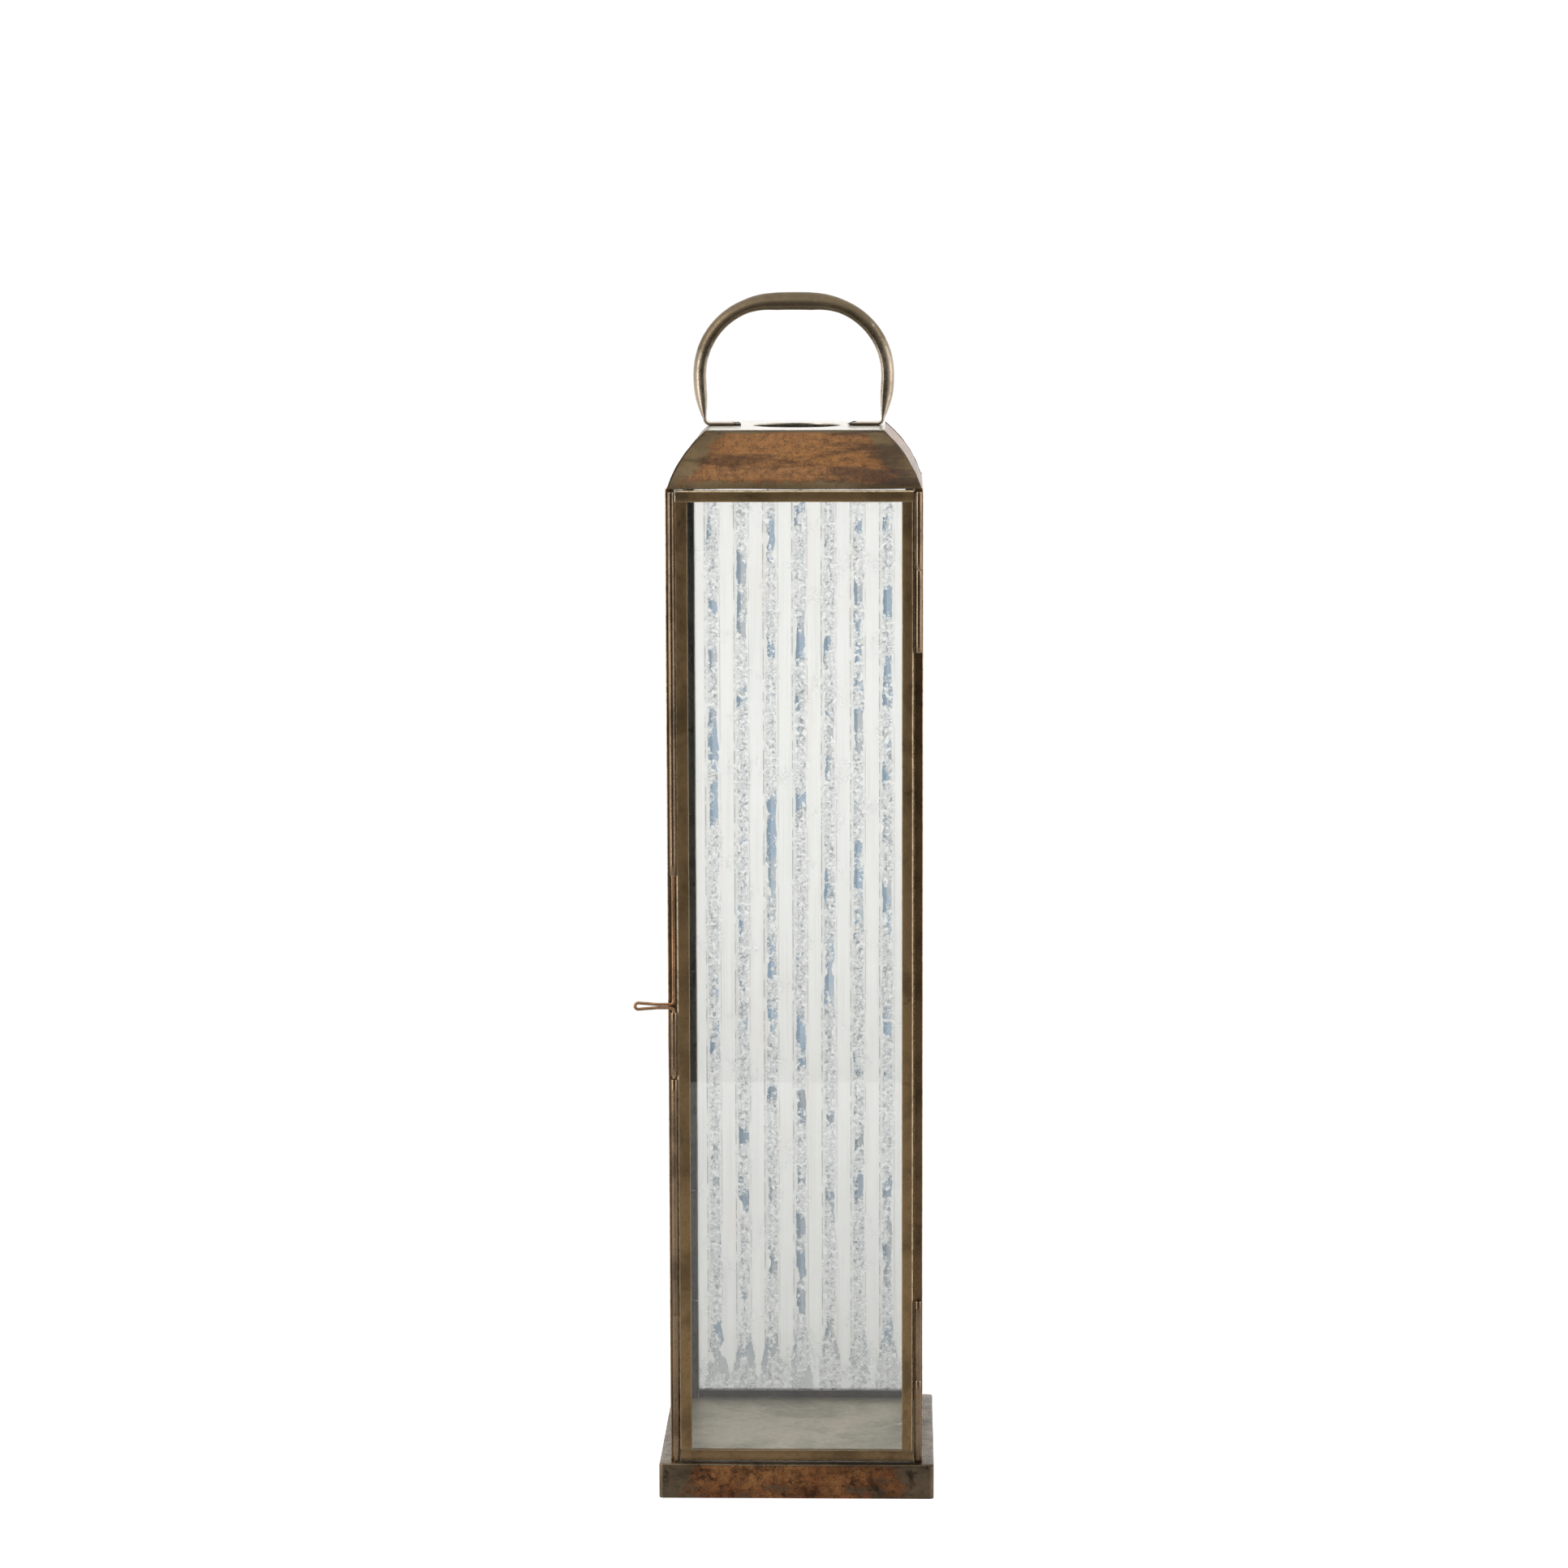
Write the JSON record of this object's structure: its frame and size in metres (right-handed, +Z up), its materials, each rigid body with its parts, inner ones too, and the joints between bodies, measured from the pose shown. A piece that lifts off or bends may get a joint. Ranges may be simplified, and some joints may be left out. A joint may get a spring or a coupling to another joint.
{
  "type": "candle lantern",
  "caption": "Tall square candle lantern with ribbed silvered walls, a hinged clear glass door with a lift-up drop bolt, a vented curved roof and a carrying arch",
  "frame": {"origin": "middle of the square base, on the surface that the lantern stands on", "axes": "+Z up, the door faces -Y, the hinges are at +X and the bolt's loop points to -X"},
  "size_m": [0.1841, 0.17, 0.7409],
  "materials": {
    "pan_brass": "antiqued sheet brass with copper and olive patina",
    "roof_brass": "antiqued sheet brass with copper, purple and olive patina",
    "frame_brass": "darkened brass channel and tube, soldered",
    "door_brass": "antiqued brass channel, bright at the edges",
    "handle_brass": "darkened brass tube, polished on its flanks",
    "wire_brass": "copper-coloured drawn wire",
    "silvered_glass": "ribbed glass with worn antique silvering",
    "clear_glass": "clear sheet glass"
  },
  "bodies": {
    "lantern": {"base_pan": "pan_brass", "left_front_post": "frame_brass", "left_back_post": "frame_brass", "left_top_rail": "frame_brass", "left_bottom_rail": "frame_brass", "right_front_post": "frame_brass", "right_back_post": "frame_brass", "right_top_rail": "frame_brass", "right_bottom_rail": "frame_brass", "back_left_stile": "frame_brass", "back_right_stile": "frame_brass", "back_top_rail": "frame_brass", "back_bottom_rail": "frame_brass", "left_pane": "silvered_glass", "right_pane": "silvered_glass", "back_pane": "silvered_glass", "roof_front": "roof_brass", "roof_back": "roof_brass", "roof_left": "roof_brass", "roof_right": "roof_brass", "top_plate": "roof_brass", "handle": "handle_brass", "upper_body_knuckle": "frame_brass", "lower_body_knuckle": "frame_brass", "upper_hinge_pin": "frame_brass", "lower_hinge_pin": "frame_brass", "keeper_tube": "frame_brass"},
    "door": {"door_top_rail": "door_brass", "door_bottom_rail": "door_brass", "door_latch_stile": "door_brass", "door_hinge_stile": "door_brass", "door_glass": "clear_glass", "upper_door_knuckle": "frame_brass", "lower_door_knuckle": "frame_brass", "guide_tube": "frame_brass", "short_guide": "frame_brass"},
    "bolt": {"bolt": "wire_brass"}
  },
  "joints": [
    {"name": "door_swing", "type": "hinge", "parent": "lantern", "child": "door", "pos_m": [0.0753, -0.0802, 0.3], "axis": [0, 0, 1], "range_deg": [0, 165]},
    {"name": "bolt_lift", "type": "slide", "parent": "door", "child": "bolt", "axis": [0, 0, 1], "range_m": [0, 0.036]}
  ]
}
